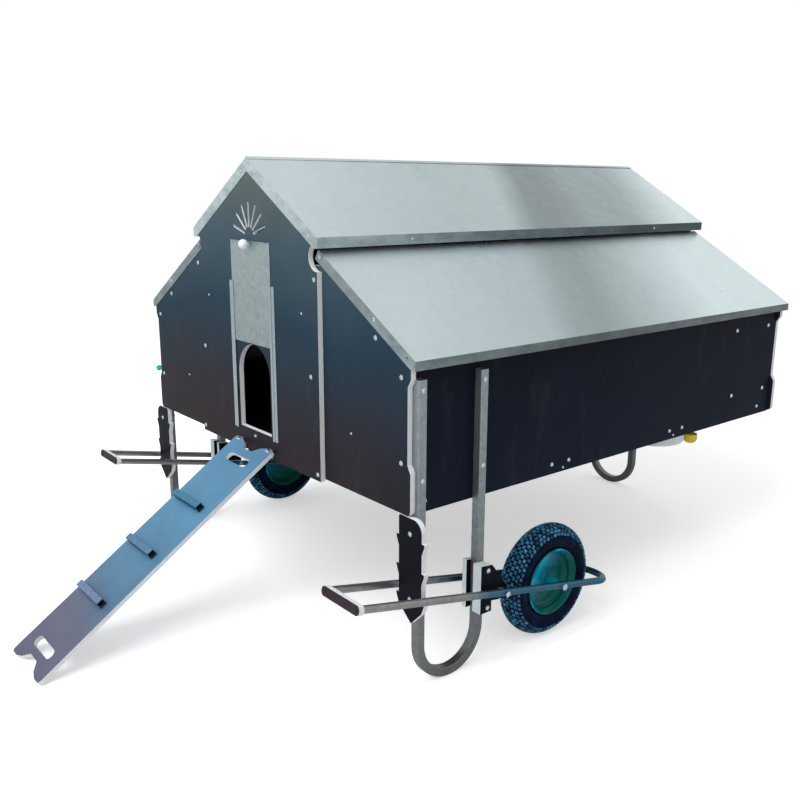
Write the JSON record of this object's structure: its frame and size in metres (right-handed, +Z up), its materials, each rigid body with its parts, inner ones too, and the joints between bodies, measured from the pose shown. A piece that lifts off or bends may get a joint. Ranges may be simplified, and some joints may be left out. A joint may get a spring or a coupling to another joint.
{
  "type": "mobile hen house",
  "caption": "Raised mobile hen house of plywood panels under galvanised roof sheets, with hinged lids, sliding door, folding ramp and lever-mounted lifting wheels.",
  "frame": {"origin": "on the ground, in the middle of the whole outline, ramp included; X = 0 is the middle plane of the house", "axes": "+X to the house's right seen from the front, +Y from the pop-hole end to the rear, +Z up"},
  "size_m": [1.89, 2.9746, 1.5921],
  "materials": {
    "ply": "film-faced plywood, smooth, satin",
    "ramp_ply": "film-faced plywood, slip-resistant, satin",
    "galvanised": "galvanised sheet, dull with faint spangle",
    "tube": "hot-dip galvanised tube, dull",
    "zinc": "zinc-plated, bright",
    "timber": "planed softwood",
    "tyre": "black rubber",
    "rim": "gloss paint",
    "white_plastic": "smooth",
    "cup": "moulded",
    "knob": "moulded"
  },
  "bodies": {
    "house": {"floor_panel": "ply", "floor_brackets": "zinc", "front_gable": "ply", "rear_gable": "ply", "front_wing_left": "ply", "front_wing_right": "ply", "rear_wing_left": "ply", "rear_wing_right": "ply", "side_wall_left": "ply", "side_wall_right": "ply", "roof_left": "galvanised", "roof_right": "galvanised", "roof_formers": "timber", "perches": "timber", "nest_boards": "ply", "nest_dividers": "ply", "water_tank": "white_plastic", "tank_cap": "white_plastic", "drinking_cup": "cup", "leg_left": "tube", "leg_right": "tube", "leg_rear": "tube", "notch_plate_left": "ply", "notch_plate_right": "ply", "pivot_blocks_left": "ply", "pivot_blocks_right": "ply", "pivot_bolt_left": "zinc", "pivot_bolt_right": "zinc", "door_guide_left": "galvanised", "door_guide_right": "galvanised", "guide_screws": "zinc", "panel_bolts": "zinc", "panel_screws": "zinc", "side_bolts": "zinc", "leg_bolts": "zinc", "roof_screws": "zinc", "lid_pins": "zinc", "hand_knob": "knob", "ramp_brackets": "zinc"},
    "left_lid": {"lid_left": "galvanised", "lid_battens_left": "timber", "lid_screws_left": "zinc"},
    "right_lid": {"lid_right": "galvanised", "lid_battens_right": "timber", "lid_screws_right": "zinc"},
    "door": {"pop_door": "galvanised", "door_ball": "white_plastic"},
    "ramp": {"ramp_board": "ramp_ply", "ramp_treads": "tube", "ramp_hinges": "zinc"},
    "left_lever": {"lever_left": "tube", "handle_left": "ply", "axle_left": "zinc"},
    "right_lever": {"lever_right": "tube", "handle_right": "ply", "axle_right": "zinc"},
    "left_wheel": {"tyre_left": "tyre", "rim_left": "rim"},
    "right_wheel": {"tyre_right": "tyre", "rim_right": "rim"}
  },
  "joints": [
    {"name": "pop_door", "type": "slide", "parent": "house", "child": "door", "axis": [0, 0, 1], "range_m": [-0.327, 0]},
    {"name": "right_lid_hinge", "type": "hinge", "parent": "house", "child": "right_lid", "pos_m": [0.41, 0, 1.28158], "axis": [0, -1, 0], "range_deg": [0, 75]},
    {"name": "left_lid_hinge", "type": "hinge", "parent": "house", "child": "left_lid", "pos_m": [-0.41, 0, 1.28158], "axis": [0, 1, 0], "range_deg": [0, 75]},
    {"name": "ramp_hinge", "type": "hinge", "parent": "house", "child": "ramp", "pos_m": [0, -0.63699, 0.583], "axis": [-1, 0, 0], "range_deg": [0, 108]},
    {"name": "left_lever_hinge", "type": "hinge", "parent": "house", "child": "left_lever", "pos_m": [-0.849, -0.28199, 0.25303], "axis": [-1, 0, 0], "range_deg": [0, 27]},
    {"name": "right_lever_hinge", "type": "hinge", "parent": "house", "child": "right_lever", "pos_m": [0.849, -0.28199, 0.25303], "axis": [-1, 0, 0], "range_deg": [0, 27]},
    {"name": "left_wheel_spin", "type": "hinge", "parent": "left_lever", "child": "left_wheel", "pos_m": [-0.849, -0.00899, 0.195], "axis": [1, 0, 0], "continuous": true},
    {"name": "right_wheel_spin", "type": "hinge", "parent": "right_lever", "child": "right_wheel", "pos_m": [0.849, -0.00899, 0.195], "axis": [1, 0, 0], "continuous": true}
  ]
}
